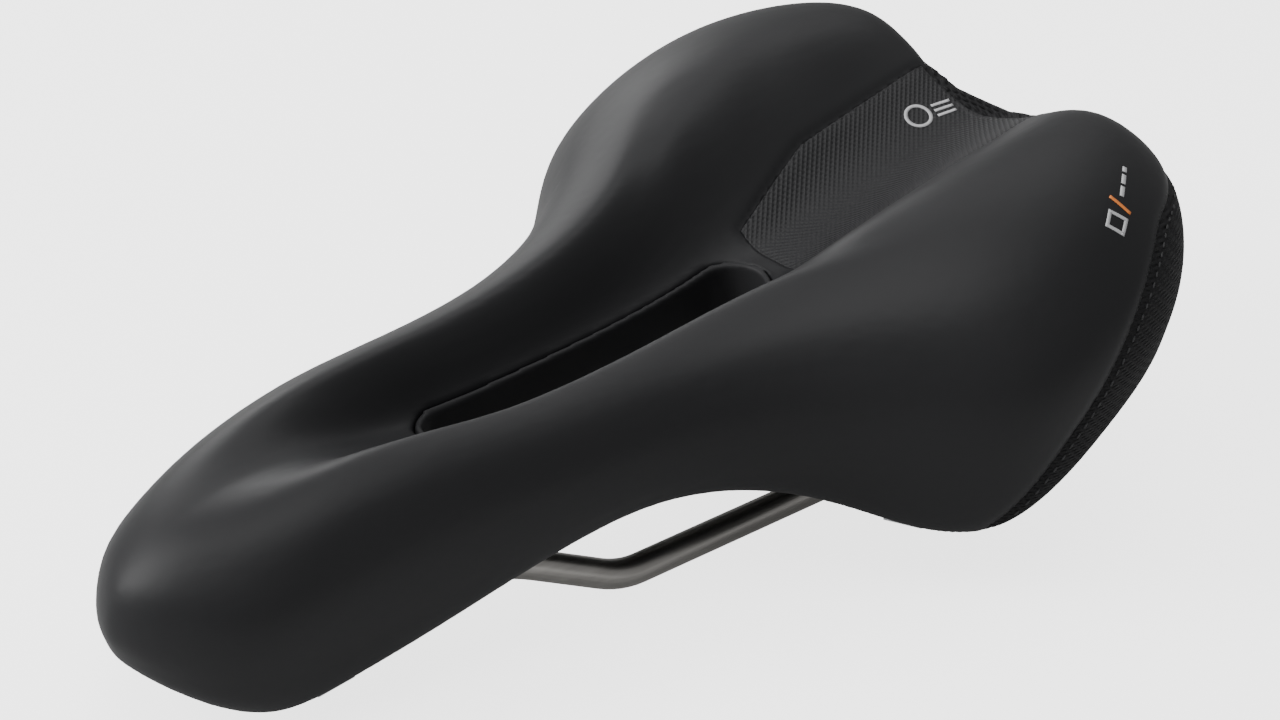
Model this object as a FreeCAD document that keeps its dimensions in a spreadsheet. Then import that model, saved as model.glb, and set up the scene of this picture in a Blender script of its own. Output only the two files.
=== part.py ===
import FreeCAD, Part
import Sketcher
import math
import os

# Comfort bicycle saddle: moulded skin over foam and gel on a ribbed plastic shell, on a bent wire rail.
# Frame: origin midway between the two rails at the middle of their straight clamp section,
# nose towards -Y, rider's left +X, up +Z. Millimetres.

V = FreeCAD.Vector
doc = FreeCAD.newDocument("saddle")

SIZES = [
    # overall
    ("saddle_length", 260.5), ("saddle_width", 166), ("nose_width", 63), ("nose_reach", 162),
    # pressure-relief slot
    ("slot_length", 97), ("slot_width", 16), ("slot_centre_y", -30), ("liner_wall", 1.5),
    ("bead_width", 3.2), ("bead_height", 1.3), ("liner_tail", 2),
    # layers, from the skin inwards
    ("skin_thickness", 1.4), ("layer_gap", 0.4), ("pad_side", 5), ("pad_depth", 15),
    ("shell_thickness", 2.8), ("hem_return", 8), ("top_camber", 8.9),
    # gel pads
    ("gel_depth", 6), ("gel_length", 62), ("gel_width", 38), ("gel_x", 43), ("gel_from_tail", 48),
    ("nose_gel_length", 44), ("nose_gel_width", 26), ("nose_gel_from_tip", 41),
    # centre panel and tail band
    ("panel_front_gap", 6), ("panel_front_width", 23), ("panel_rear_width", 37),
    ("panel_tail_setback", 7.3), ("seam_start_from_tail", 75.5), ("seam_start_height", 15),
    ("seam_top_from_tail", 12.6), ("seam_top_height", 74.6), ("inlay_gap", 0.15),
    ("tail_valley_height", 71),
    ("valley_half_width", 36), ("tail_wall_depth", 7.3), ("valley_floor_drop", 14),
    # rail
    ("rail_diameter", 7), ("rail_spacing", 44), ("clamp_length", 70), ("bend_radius", 25),
    ("nose_bend_radius", 10), ("rail_nose_width", 18), ("rail_nose_setback", 42),
    ("rail_nose_height", 22), ("rail_rise_y", 67), ("rail_rise_height", 10.9),
    ("rail_rise_width", 31), ("rail_end_width", 58), ("rail_end_setback", 29),
    ("rail_end_height", 36),
    # nose fixing
    ("nose_block_length", 32), ("nose_block_width", 34), ("clip_thickness", 3), ("rail_play", 0.15),
    ("screw_diameter", 4), ("screw_head_diameter", 8), ("screw_head_height", 2.4),
    ("screw_length", 11), ("screw_spacing", 21),
    # rear fixings
    ("socket_width", 19), ("socket_length", 20), ("socket_drop", 7), ("bush_wall", 1.6),
    ("bush_length", 15), ("bush_play", 0.1),
    # accessory dock under the tail
    ("dock_width", 30), ("dock_length", 20), ("dock_height", 18), ("dock_slot_width", 16),
    ("dock_slot_height", 3.5), ("dock_lip_gap", 9), ("dock_setback", 22.5),
    # ribs and staples
    ("rib_thickness", 2), ("rib_height", 5), ("staple_width", 9), ("staple_wire", 0.7),
    ("staple_count", 13),
]

sheet = doc.addObject("Spreadsheet::Sheet", "sizes")
for row, (alias, value) in enumerate(SIZES, start=1):
    sheet.set("A%d" % row, alias)
    sheet.set("B%d" % row, str(value))
    sheet.setAlias("B%d" % row, alias)
doc.recompute()


def size(alias):
    return float(sheet.get(alias))


# Outline of the cushion, nose tip to tail on the rider's left. The plan is in shares: of the saddle's
# length along it, and of half the nose width (first seven rows) or half the saddle width across it.
# Then the heights of the widest line and of the hem, how far the side tucks in under the widest line,
# and the share of the way in from the slot at which the top starts to roll over into the side.
NOSE_ROWS = 7
OUTLINE = [
    (0.000, 0.000, 25.0, 12.0, 9.5, 0.66),
    (0.025, 0.444, 24.5, 8.0, 8.5, 0.64),
    (0.073, 0.762, 25.0, 5.0, 7.0, 0.60),
    (0.138, 0.905, 27.0, 8.0, 6.0, 0.55),
    (0.232, 1.000, 30.0, 13.0, 6.0, 0.51),
    (0.353, 1.095, 33.0, 20.0, 6.0, 0.49),
    (0.484, 1.238, 35.0, 24.5, 6.0, 0.49),
    (0.618, 0.699, 37.5, 18.0, 6.5, 0.50),
    (0.724, 0.970, 43.0, 13.5, 6.5, 0.53),
    (0.833, 1.000, 51.0, 28.0, 7.5, 0.56),
    (0.933, 0.898, 59.5, 38.0, 8.0, 0.60),
    (0.990, 0.711, 67.0, 43.0, 8.5, 0.61),
    (1.000, 0.470, 72.5, 45.5, 7.5, 0.69),
    (0.987, 0.211, 74.0, 44.5, 6.5, 0.84),
    (0.985, 0.000, 74.5, 43.0, 6.5, 0.90),
]

# Top of the cushion along its length: share of the length, height on the centre line, height of the
# two crests, how far out the crests stand, and half the width of the valley's flat floor.
TOP = [
    (-0.012, 41.0, 41.5, 8.5, 0.0),
    (0.104, 47.0, 47.5, 10.5, 0.0),
    (0.200, 47.0, 52.5, 14.0, 2.0),
    (0.296, 40.5, 53.5, 18.0, 6.0),
    (0.411, 39.3, 54.0, 20.5, 8.0),
    (0.526, 42.3, 59.5, 23.5, 8.0),
    (0.641, 46.3, 68.5, 31.5, 7.0),
    (0.756, 54.0, 80.0, 39.5, 2.0),
    (0.871, 63.0, 85.8, 43.0, 0.0),
    (0.987, 71.0, 89.4, 43.0, 0.0),
]

NOSE_Y = -size("nose_reach")
TAIL_Y = size("saddle_length") - size("nose_reach")
SLOT_HALF = size("slot_width") / 2
SLOT_FRONT = size("slot_centre_y") - size("slot_length") / 2 + SLOT_HALF
SLOT_REAR = size("slot_centre_y") + size("slot_length") / 2 - SLOT_HALF
GAP = size("layer_gap")
SKIN = size("skin_thickness")
SLOT_SPARE = 1.5
ROLL_POWER = 2 / 2.2


def along(share):
    return NOSE_Y + share * size("saddle_length")


def natural_spline(xs, ys):
    """Second derivatives of the natural cubic spline through the points."""
    count = len(xs)
    second = [0.0] * count
    work = [0.0] * count
    for i in range(1, count - 1):
        ratio = (xs[i] - xs[i - 1]) / (xs[i + 1] - xs[i - 1])
        pivot = ratio * second[i - 1] + 2
        second[i] = (ratio - 1) / pivot
        slope = (ys[i + 1] - ys[i]) / (xs[i + 1] - xs[i]) - (ys[i] - ys[i - 1]) / (xs[i] - xs[i - 1])
        work[i] = (6 * slope / (xs[i + 1] - xs[i - 1]) - ratio * work[i - 1]) / pivot
    for i in range(count - 2, 0, -1):
        second[i] = second[i] * second[i + 1] + work[i]
    second[0] = 0.0
    return second


TOP_Y = [along(row[0]) for row in TOP]
TOP_LINES = [[row[k] for row in TOP] for k in (1, 2, 3, 4)]
TOP_SECOND = [natural_spline(TOP_Y, line) for line in TOP_LINES]


def top_line(k, y):
    """Centre height, crest height, crest offset or floor half width at a place along the saddle."""
    y = min(max(y, TOP_Y[0]), TOP_Y[-1])
    i = 0
    while i < len(TOP_Y) - 2 and y > TOP_Y[i + 1]:
        i += 1
    width = TOP_Y[i + 1] - TOP_Y[i]
    a = (TOP_Y[i + 1] - y) / width
    b = 1 - a
    line, second = TOP_LINES[k], TOP_SECOND[k]
    bend = ((a ** 3 - a) * second[i] + (b ** 3 - b) * second[i + 1]) * width ** 2 / 6
    return a * line[i] + b * line[i + 1] + bend


def top_height(x, y):
    """Height of the cushion's top: a flat-floored valley on the centre line between two soft crests."""
    centre, crest, reach, floor = (top_line(k, y) for k in range(4))
    floor = max(floor, 0)
    climb = min(max(abs(x) - floor, 0) / (reach - floor), 1)
    rise = math.sin(climb * math.pi / 2) ** 2
    fall = max(abs(x) / reach - 1, 0)
    return centre + (crest - centre) * rise - size("top_camber") * fall ** 2 * reach / 30


def slot_point(x, y, half):
    """Point of the slot's rim that faces the outline point (x, y)."""
    if y < SLOT_FRONT:
        angle = math.atan2(x, SLOT_FRONT - y)
        return half * math.sin(angle), SLOT_FRONT - half * math.cos(angle)
    if y > SLOT_REAR:
        angle = math.atan2(x, y - SLOT_REAR)
        return half * math.sin(angle), SLOT_REAR + half * math.cos(angle)
    return half, y


def sheet_rows(inset, drop, lift=0.0):
    """Rows of points of one layer boundary, one row per outline station: a flat strip under the hem,
    then up the side and over the top to just inside the slot. The side stands inset inside the outer
    skin, the top lies drop below it, and the hem is lifted."""
    rows = []
    for i, (share, across, girth, hem, tuck, roll) in enumerate(OUTLINE):
        half = size("nose_width") / 2 if i < NOSE_ROWS else size("saddle_width") / 2
        x, y = across * half, along(share)
        rx, ry = slot_point(x, y, SLOT_HALF - SLOT_SPARE)
        reach = math.hypot(x - rx, y - ry)
        ux, uy = (x - rx) / reach, (y - ry) / reach
        low = hem + lift
        widest = girth - min(drop, 0.6 * (girth - hem))
        row = []

        def add(distance, z):
            row.append(V(rx + ux * distance, ry + uy * distance, z))

        edge = reach - inset
        for extra in (size("hem_return"), size("hem_return") / 2):
            add(edge - tuck - extra, low)
        for degrees in (90, 60, 30):
            angle = math.radians(degrees)
            add(edge - tuck * (1 - math.cos(angle)), widest - (widest - low) * math.sin(angle))
        for degrees in (90, 70, 50, 30, 0):
            angle = math.radians(degrees)
            out = math.sin(angle) ** ROLL_POWER
            up = max(math.cos(angle), 0) ** ROLL_POWER
            distance = edge * (roll + (1 - roll) * out)
            roof = top_height(rx + ux * distance, ry + uy * distance) - drop
            add(distance, widest + (roof - widest) * up)
        for part_way in (0.8, 0.6, 0.4, 0.2, 0.08, 0):
            distance = edge * roll * part_way
            add(distance, top_height(rx + ux * distance, ry + uy * distance) - drop)
        rows.append(row)
    return rows


def mirrored(points):
    return [V(-p.x, p.y, p.z) for p in points]


def half_surface(rows, first=0):
    """Smooth surface through the rows on the rider's left. Two mirrored rows past each end keep it
    square to the centre plane. It is then cut back to the first and last row, and to the point of
    each row where it is to start."""
    wrapped = [mirrored(rows[2]), mirrored(rows[1])] + rows + [mirrored(rows[-2]), mirrored(rows[-3])]
    surface = Part.BSplineSurface()
    surface.interpolate(wrapped)
    middle = len(rows[0]) // 2
    start = surface.parameter(rows[0][middle])[0]
    end = surface.parameter(rows[-1][middle])[0]
    low = surface.parameter(rows[middle][first])[1] if first else surface.bounds()[2]
    surface.segment(start, end, low, surface.bounds()[3])
    return surface


def layer(outer_rows, inner_rows, first=2):
    """Closed solid between two sheets, joined along the hem and round the slot."""
    outer, inner = half_surface(outer_rows, first), half_surface(inner_rows, first)
    faces = [outer.toShape(), inner.toShape()]
    for side in (2, 3):
        edges = [s.vIso(s.bounds()[side]).toShape() for s in (outer, inner)]
        faces.append(Part.makeRuledSurface(edges[0], edges[1]))
    faces += [f.mirror(V(0, 0, 0), V(1, 0, 0)) for f in faces]
    shell = Part.makeShell(faces)
    shell.sewShape(0.01)
    solid = Part.Solid(shell.Shells[0] if shell.ShapeType != "Shell" else shell)
    solid.fix(0.001, 0.001, 0.01)
    if solid.Volume < 0:
        solid.reverse()
    return solid


def feature(name, shape):
    obj = doc.addObject("Part::Feature", name)
    obj.Shape = shape
    return obj


def cut(name, base, tool):
    obj = doc.addObject("Part::Cut", name)
    obj.Base, obj.Tool = base, tool
    return obj


def common(name, base, tool):
    obj = doc.addObject("Part::Common", name)
    obj.Base, obj.Tool = base, tool
    return obj


def fuse(name, shapes):
    obj = doc.addObject("Part::MultiFuse", name)
    obj.Shapes = shapes
    return obj


def compound(name, links):
    obj = doc.addObject("Part::Compound", name)
    obj.Links = links
    return obj


def bind(obj, **expressions):
    for prop, expression in expressions.items():
        obj.setExpression(prop.replace("__", "."), expression)
    return obj


def new_body(name):
    return doc.addObject("PartDesign::Body", name)


def new_sketch(body, name, role, height=None):
    """Sketch on one of the body's own origin planes, moved along its normal by an expression."""
    sketch = body.newObject("Sketcher::SketchObject", name)
    plane = next(f for f in body.Origin.OriginFeatures if f.Role == role)
    sketch.AttachmentSupport = [(plane, "")]
    sketch.MapMode = "FlatFace"
    if height:
        sketch.setExpression("AttachmentOffset.Base.z", height)
    return sketch


def rectangle(sketch, x_low, x_high, y_low, y_high):
    """Rectangle whose four sides are dimensioned from the origin by expressions."""
    corners = [(0, 0), (10, 0), (10, 10), (0, 10)]
    lines = []
    for i in range(4):
        a, b = corners[i], corners[(i + 1) % 4]
        lines.append(sketch.addGeometry(Part.LineSegment(V(a[0], a[1], 0), V(b[0], b[1], 0)), False))
    for i in range(4):
        sketch.addConstraint(Sketcher.Constraint("Coincident", lines[i], 2, lines[(i + 1) % 4], 1))
    for i in (0, 2):
        sketch.addConstraint(Sketcher.Constraint("Horizontal", lines[i]))
    for i in (1, 3):
        sketch.addConstraint(Sketcher.Constraint("Vertical", lines[i]))
    for kind, line, value in (("DistanceX", 3, x_low), ("DistanceX", 1, x_high),
                              ("DistanceY", 0, y_low), ("DistanceY", 2, y_high)):
        start = 0.0 if line in (3, 0) else 10.0
        index = sketch.addConstraint(Sketcher.Constraint(kind, -1, 1, lines[line], 1, start))
        sketch.setExpression("Constraints[%d]" % index, value)


def polygon(sketch, points):
    """Closed chain of lines whose corners are dimensioned from the origin by expressions, given as
    pairs of an expression and its present value."""
    count = len(points)
    for i in range(count):
        a, b = points[i], points[(i + 1) % count]
        sketch.addGeometry(Part.LineSegment(V(a[0][1], a[1][1], 0), V(b[0][1], b[1][1], 0)), False)
    for i in range(count):
        sketch.addConstraint(Sketcher.Constraint("Coincident", i, 2, (i + 1) % count, 1))
    for i, ((x_text, x), (y_text, y)) in enumerate(points):
        for kind, text, value in (("DistanceX", x_text, x), ("DistanceY", y_text, y)):
            index = sketch.addConstraint(Sketcher.Constraint(kind, -1, 1, i, 1, value))
            sketch.setExpression("Constraints[%d]" % index, text)


def pad(body, name, sketch, length, midplane=False):
    obj = body.newObject("PartDesign::Pad", name)
    obj.Profile = sketch
    obj.Midplane = midplane
    obj.setExpression("Length", length)
    return obj


def box(name, low, high):
    """Part::Box between two corners given as three expressions each."""
    obj = doc.addObject("Part::Box", name)
    for prop, a, b in zip(("Length", "Width", "Height"), low, high):
        obj.setExpression(prop, "(%s) - (%s)" % (b, a))
    for axis, a in zip("xyz", low):
        obj.setExpression("Placement.Base." + axis, a)
    return obj


def at(x, y, z, axis=V(0, 0, 1)):
    return FreeCAD.Placement(V(x, y, z), FreeCAD.Rotation(V(0, 0, 1), axis))


def cylinder(name, radius, height, placement):
    obj = doc.addObject("Part::Cylinder", name)
    bind(obj, Radius=radius, Height=height)
    obj.Placement = placement
    return obj


CELL = "<<sizes>>."


def cells(expression):
    """Write the sheet's name before each alias of an expression."""
    words = sorted((alias for alias, value in SIZES), key=len, reverse=True)
    out, i = "", 0
    while i < len(expression):
        word = next((w for w in words if expression.startswith(w, i)), None)
        before = out[-1:] if out else " "
        if word and not (before.isalnum() or before == "_"):
            out += CELL + word
            i += len(word)
        else:
            out += expression[i]
            i += 1
    return out


def value_of(expression):
    """Present value of an expression in the sheet's aliases."""
    probe = doc.addObject("App::FeaturePython", "probe")
    probe.addProperty("App::PropertyFloat", "result")
    probe.setExpression("result", cells(expression))
    doc.recompute()
    result = probe.result
    doc.removeObject(probe.Name)
    return result


def pair(expression):
    return cells(expression), value_of(expression)


# The layers. Each boundary sheet is the outer skin moved in, so neighbours never cross. Only the skin
# keeps the strip that turns in under the hem.
SHELL_IN = size("pad_side")
SHELL_DOWN = size("pad_depth")
SHELL_WALL = size("shell_thickness")
BOTTOM = SKIN + 2 * GAP
outer_rows = sheet_rows(0, 0)
skin_sheet = half_surface(outer_rows)
skin_layer = feature("skin_layer", layer(outer_rows, sheet_rows(SKIN, SKIN, SKIN), first=0))
foam_layer = feature("foam_layer", layer(
    sheet_rows(SKIN + GAP, SKIN + GAP, BOTTOM), sheet_rows(SHELL_IN - GAP, SHELL_DOWN - GAP, BOTTOM)))
shell_layer = feature("shell_layer", layer(
    sheet_rows(SHELL_IN, SHELL_DOWN, BOTTOM),
    sheet_rows(SHELL_IN + SHELL_WALL, SHELL_DOWN + SHELL_WALL, BOTTOM)))

# Everything above the underside of the shell, to trim what is fixed under it.
UNDER = SHELL_WALL + GAP
above_shell = feature("above_shell", layer(
    outer_rows, sheet_rows(SHELL_IN + UNDER, SHELL_DOWN + UNDER, BOTTOM)))

# Every slot-shaped prism comes from one outline, so the opening and its liner stay together.
def slot_prism(name, radius):
    """Upright prism round the slot, its sides the given radius from the slot's centre line."""
    ends = []
    for place, sign in (("front", "-"), ("rear", "+")):
        end = doc.addObject("Part::Cylinder", "%s_%s" % (name, place))
        bind(end, Radius=cells(radius), Height=cells("saddle_length"))
        end.setExpression("Placement.Base.y", cells("slot_centre_y %s (slot_length - slot_width) / 2" % sign))
        ends.append(end)
    middle = box(name + "_middle",
                 [cells("-(%s)" % radius), cells("slot_centre_y - (slot_length - slot_width) / 2"), "0"],
                 [cells(radius), cells("slot_centre_y + (slot_length - slot_width) / 2"),
                  cells("saddle_length")])
    return fuse(name, ends + [middle])


slot_cutter = slot_prism("slot_cutter", "slot_width / 2 + liner_wall + layer_gap")
skin_open = cut("skin_open", skin_layer, slot_cutter)
foam_open = cut("foam_open", foam_layer, slot_cutter)
shell_open = cut("shell_open", shell_layer, slot_cutter)

# Centre panel: an embossed inlay in the valley behind the slot, let into the skin.
panel_front = "slot_centre_y + slot_length / 2 + panel_front_gap"
panel_rear = "saddle_length - nose_reach - panel_tail_setback"


def panel_prism(name, shrink):
    """Upright prism of the panel's outline: narrow at the slot, widening over the first third."""
    body = new_body(name)
    sketch = new_sketch(body, name + "_outline", "XY_Plane", cells("pad_depth * 3.2"))
    bulge_y = "(%s) * 0.63 + (%s) * 0.37" % (panel_front, panel_rear)
    half_front = "panel_front_width / 2 - %s" % shrink
    half_bulge = "panel_rear_width / 2 - 1 - %s" % shrink
    half_rear = "panel_rear_width / 2 - %s" % shrink
    rows = [(half_front, "%s + %s" % (panel_front, shrink)), (half_bulge, bulge_y),
            (half_rear, "%s - %s" % (panel_rear, shrink))]
    points = [(pair(x), pair(y)) for x, y in rows]
    points += [(pair("-(%s)" % x), pair(y)) for x, y in reversed(rows)]
    polygon(sketch, points)
    pad(body, name + "_pad", sketch, cells("pad_depth * 4"))
    under = box(name + "_under", [cells("-panel_rear_width"), cells(panel_rear + " - 12"), "0"],
                [cells("panel_rear_width"), cells(panel_rear + " + 12"),
                 cells("tail_valley_height - valley_floor_drop")])
    return cut(name + "_tool", body, under)


# Tail band: the wall behind a curved seam, from low on each side up to the tail's edge. The seam's
# points are shares of the way from its start to its top, along and up.
SEAM = [(0, 0), (0.226, 0.351), (0.52, 0.708), (0.8, 0.94), (1, 1)]


def band_wedge(name, shrink):
    """Block behind the seam, across the whole saddle, without the valley's floor and the panel."""
    body = new_body(name)
    sketch = new_sketch(body, name + "_outline", "YZ_Plane")
    tail = "saddle_length - nose_reach"
    start = tail + " - seam_start_from_tail"
    run = "(seam_start_from_tail - seam_top_from_tail)"
    climb = "(seam_top_height - seam_start_height)"
    rows = [("%s - 8 + %s" % (start, shrink), "-seam_top_height / 3")]
    rows += [("%s + %s * %g + %s" % (start, run, a, shrink),
              "seam_start_height + %s * %g - %s" % (climb, b, shrink)) for a, b in SEAM]
    rows += [("%s + 20" % tail, "seam_top_height + 5 - %s" % shrink),
             ("%s + 20" % tail, "-seam_top_height / 3")]
    polygon(sketch, [(pair(y), pair(z)) for y, z in rows])
    pad(body, name + "_pad", sketch, cells("saddle_width * 1.4"), midplane=True)
    valley = box(name + "_valley",
                 [cells("-valley_half_width"), "0", cells("tail_valley_height - valley_floor_drop")],
                 [cells("valley_half_width"), cells(tail + " - tail_wall_depth"),
                  cells("seam_top_height * 2")])
    return cut(name + "_tool", body, valley)


skin_cut = cut("skin_cut", skin_open, panel_prism("panel_opening", "0"))
cover_skin = cut("cover_skin", skin_cut, band_wedge("band_opening", "0"))
centre_panel = common("centre_panel", skin_open, panel_prism("panel_inlay", "inlay_gap"))
band_inlay = band_wedge("band_inlay", "inlay_gap")
tail_band = common("tail_band", skin_open, band_inlay)


# Gel pads, sunk in the top of the foam under the sit bones and on the nose.
def gel_outline(name, x, y, width, length, grow):
    obj = doc.addObject("Part::Ellipse", name + "_outline")
    long_way = length > width
    bind(obj, MajorRadius=cells("%s / 2 + %s" % (max((length, width), key=value_of), grow)),
         MinorRadius=cells("%s / 2 + %s" % (min((length, width), key=value_of), grow)))
    turn = FreeCAD.Rotation(V(0, 0, 1), 90 if value_of(length) > value_of(width) else 0)
    obj.Placement = FreeCAD.Placement(V(value_of(x), value_of(y), 0), turn)
    prism = doc.addObject("Part::Extrusion", name + "_prism")
    prism.Base, prism.Dir, prism.DirMode, prism.Solid = obj, V(0, 0, 1), "Custom", True
    prism.setExpression("LengthFwd", cells("pad_depth * 9"))
    return prism


GEL_DOWN = SKIN + GAP + size("gel_depth")
pocket_layer = feature("pocket_layer", layer(
    sheet_rows(0, 0, BOTTOM), sheet_rows(SHELL_IN - GAP, GEL_DOWN + GAP, BOTTOM)))
gel_layer = feature("gel_layer", layer(
    sheet_rows(SKIN + GAP, SKIN + GAP, BOTTOM), sheet_rows(SHELL_IN - GAP, GEL_DOWN, BOTTOM)))
tail = "saddle_length - nose_reach"
GEL_PADS = [
    ("gel_pad_left", "gel_x", tail + " - gel_from_tail", "gel_width", "gel_length"),
    ("gel_pad_right", "-gel_x", tail + " - gel_from_tail", "gel_width", "gel_length"),
    ("gel_pad_nose", "0", "nose_gel_from_tip - nose_reach", "nose_gel_width", "nose_gel_length"),
]
foam_stage, gel_pads = foam_open, []
for name, x, y, width, length in GEL_PADS:
    pocket = common(name + "_pocket", pocket_layer,
                    gel_outline(name + "_pocket", x, y, width, length, "layer_gap"))
    foam_stage = cut("foam_with_" + name, foam_stage, pocket)
    gel_pads.append(common(name, gel_layer, gel_outline(name, x, y, width, length, "0")))
foam_pad = foam_stage

# Ribs under the shell: two along the waist, and a grid under each wing.
rib_layer = feature("rib_layer", layer(
    sheet_rows(SHELL_IN + SHELL_WALL / 2, SHELL_DOWN + SHELL_WALL / 2, BOTTOM + 1),
    sheet_rows(SHELL_IN + SHELL_WALL + size("rib_height"), SHELL_DOWN + SHELL_WALL + size("rib_height"),
               BOTTOM + 1)))
rib = "rib_thickness / 2"
RIBS = [("waist", "20", "-0.4 * nose_reach", "-8"), ("wing", "46", "8", tail + " - 22")]
CROSS_RIBS = [("-46", "26"), ("12", "0.53 * saddle_width / 2"), ("34", "0.75 * saddle_width / 2"),
              ("56", "0.74 * saddle_width / 2")]
rib_spans = [(x + " - " + rib, y_low, x + " + " + rib, y_high) for name, x, y_low, y_high in RIBS]
rib_spans += [("dock_width / 2 + 1", "%s - %s" % (y, rib), x_high, "%s + %s" % (y, rib))
              for y, x_high in CROSS_RIBS]
ribs = []
for i, (x_low, y_low, x_high, y_high) in enumerate(rib_spans):
    for side in ("left", "right"):
        ends = (x_low, x_high) if side == "left" else ("-(%s)" % x_high, "-(%s)" % x_low)
        rib_box = box("rib_box_%d_%s" % (i, side), [cells(ends[0]), cells(y_low), "0"],
                      [cells(ends[1]), cells(y_high), cells("pad_depth * 8")])
        ribs.append(common("rib_%d_%s" % (i, side), rib_layer, rib_box))
base_shell = fuse("base_shell", [shell_open] + ribs)


# Slot liner: a soft moulded sleeve through skin, foam and shell, with a bead that laps over the skin.
LAP = 0.15
slot_space = slot_prism("slot_space", "slot_width / 2")
sleeve_layer = feature("sleeve_layer", layer(
    sheet_rows(0, -LAP - size("bead_height") / 2),
    sheet_rows(SHELL_IN + SHELL_WALL, SHELL_DOWN + SHELL_WALL + size("liner_tail"), BOTTOM)))
bead_layer = feature("bead_layer", layer(sheet_rows(0, -LAP - size("bead_height")), sheet_rows(0, -LAP)))
sleeve = common("liner_sleeve", sleeve_layer, slot_prism("sleeve_outside", "slot_width / 2 + liner_wall"))
bead = common("liner_bead", bead_layer, slot_prism("bead_outside", "slot_width / 2 + bead_width"))
slot_liner = cut("slot_liner", fuse("liner_blank", [sleeve, bead]), slot_space)


# Rail: one wire, from the rear left socket along the clamp section, up to the nose, and back.
def rounded_wire(points, radii):
    """Straight runs joined by tangent arcs, one radius for each inner point."""
    edges, start = [], points[0]
    for before, corner, after, radius in zip(points, points[1:], points[2:], radii):
        a, b = (before - corner).normalize(), (after - corner).normalize()
        half = a.getAngle(b) / 2
        reach, depth = radius / math.tan(half), radius / math.sin(half)
        first, last = corner + a * reach, corner + b * reach
        centre = corner + (a + b).normalize() * depth
        middle = centre + (corner - centre).normalize() * radius
        edges.append(Part.LineSegment(start, first).toShape())
        edges.append(Part.Arc(first, middle, last).toShape())
        start = last
    edges.append(Part.LineSegment(start, points[-1]).toShape())
    return Part.Wire(edges)


RAIL_R = size("rail_diameter") / 2
HALF_CLAMP = size("clamp_length") / 2
RAIL_X = size("rail_spacing") / 2
rear_end = V(size("rail_end_width") / 2, TAIL_Y - size("rail_end_setback"), size("rail_end_height"))
rise = V(size("rail_rise_width") / 2, -size("rail_rise_y"), size("rail_rise_height"))
nose_corner = V(size("rail_nose_width") / 2, NOSE_Y + size("rail_nose_setback"), size("rail_nose_height"))


def corner_beyond(end, target):
    """Corner on the rail's clamp line whose bend starts just past the clamp section."""
    y = end
    for step in range(20):
        corner = V(RAIL_X, y, 0)
        turn = V(0, math.copysign(1, end), 0).getAngle(target - corner)
        y = end + math.copysign(size("bend_radius") * math.tan(turn / 2), end)
    return V(RAIL_X, y, 0)


rear_corner = corner_beyond(HALF_CLAMP, rear_end)
front_corner = corner_beyond(-HALF_CLAMP, rise)
left_half = [rear_end, rear_corner, front_corner, rise, nose_corner]
rail_points = left_half + list(reversed(mirrored(left_half)))
bends = [size("bend_radius")] * 2 + [2 * size("bend_radius"), size("nose_bend_radius")]
rail_wire = rounded_wire(rail_points, bends + list(reversed(bends)))
rail_path = feature("rail_path", rail_wire)
leg = (rear_end - rear_corner).normalize()


def rail_sweep(name, radius):
    section = doc.addObject("Part::Circle", name + "_section")
    section.setExpression("Radius", cells(radius))
    section.Placement = FreeCAD.Placement(rear_end, FreeCAD.Rotation(V(0, 0, 1), leg))
    sweep = doc.addObject("Part::Sweep", name)
    sweep.Sections = [section]
    sweep.Spine = (rail_path, ["Edge%d" % (i + 1) for i in range(len(rail_wire.Edges))])
    sweep.Solid, sweep.Frenet = True, False
    return sweep


rail = rail_sweep("rail", "rail_diameter / 2")
rail_clearance = rail_sweep("rail_clearance", "rail_diameter / 2 + rail_play")

# Nose fixing: a block under the shell and a clip plate below it close on the rail's nose, held by
# two screws, one in front of the wire and one inside its turn.
block_y = "rail_nose_setback - nose_reach"
block_low = "%s - nose_block_length / 2 + 2" % block_y
block_high = "%s + nose_block_length / 2 + 2" % block_y
nose_box = box("nose_block", [cells("-nose_block_width / 2"), cells(block_low), cells("rail_nose_height")],
               [cells("nose_block_width / 2"), cells(block_high), cells("rail_nose_height + pad_depth")])
nose_trimmed = cut("nose_trimmed", nose_box, above_shell)
clip_box = box("clip_box",
               [cells("-nose_block_width / 2"), cells(block_low),
                cells("rail_nose_height - rail_diameter / 2 - clip_thickness")],
               [cells("nose_block_width / 2"), cells(block_high), cells("rail_nose_height - 0.2")])


def screw(name, x, y, head_z):
    """Pan-head screw turned from one profile, driven upwards, with a cross recess in its head."""
    body = new_body(name)
    sketch = new_sketch(body, name + "_profile", "XZ_Plane")
    head, shank = "screw_head_diameter / 2", "screw_diameter / 2"
    rows = [("0", "-screw_head_height"), (head + " * 0.7", "-screw_head_height"),
            (head, "-screw_head_height * 0.45"), (head, "0"), (shank, "0"),
            (shank, "screw_length - 2"), (shank + " * 0.4", "screw_length"), ("0", "screw_length")]
    polygon(sketch, [(pair(x_text), pair(y_text)) for x_text, y_text in rows])
    turn = body.newObject("PartDesign::Revolution", name + "_turned")
    turn.Profile = sketch
    turn.ReferenceAxis = (sketch, ["V_Axis"])
    turn.Angle = 360
    for i, role in enumerate(("XZ_Plane", "YZ_Plane")):
        arm = new_sketch(body, "%s_recess_%d" % (name, i), role)
        rectangle(arm, cells("-screw_diameter * 0.45"), cells("screw_diameter * 0.45"),
                  cells("-screw_head_height - 1"), cells("-screw_head_height * 0.45"))
        slot = body.newObject("PartDesign::Pocket", "%s_slot_%d" % (name, i))
        slot.Profile = arm
        slot.Midplane = True
        slot.setExpression("Length", cells("screw_diameter * 0.2"))
    body.Placement = at(x, y, head_z)
    return body


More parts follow.
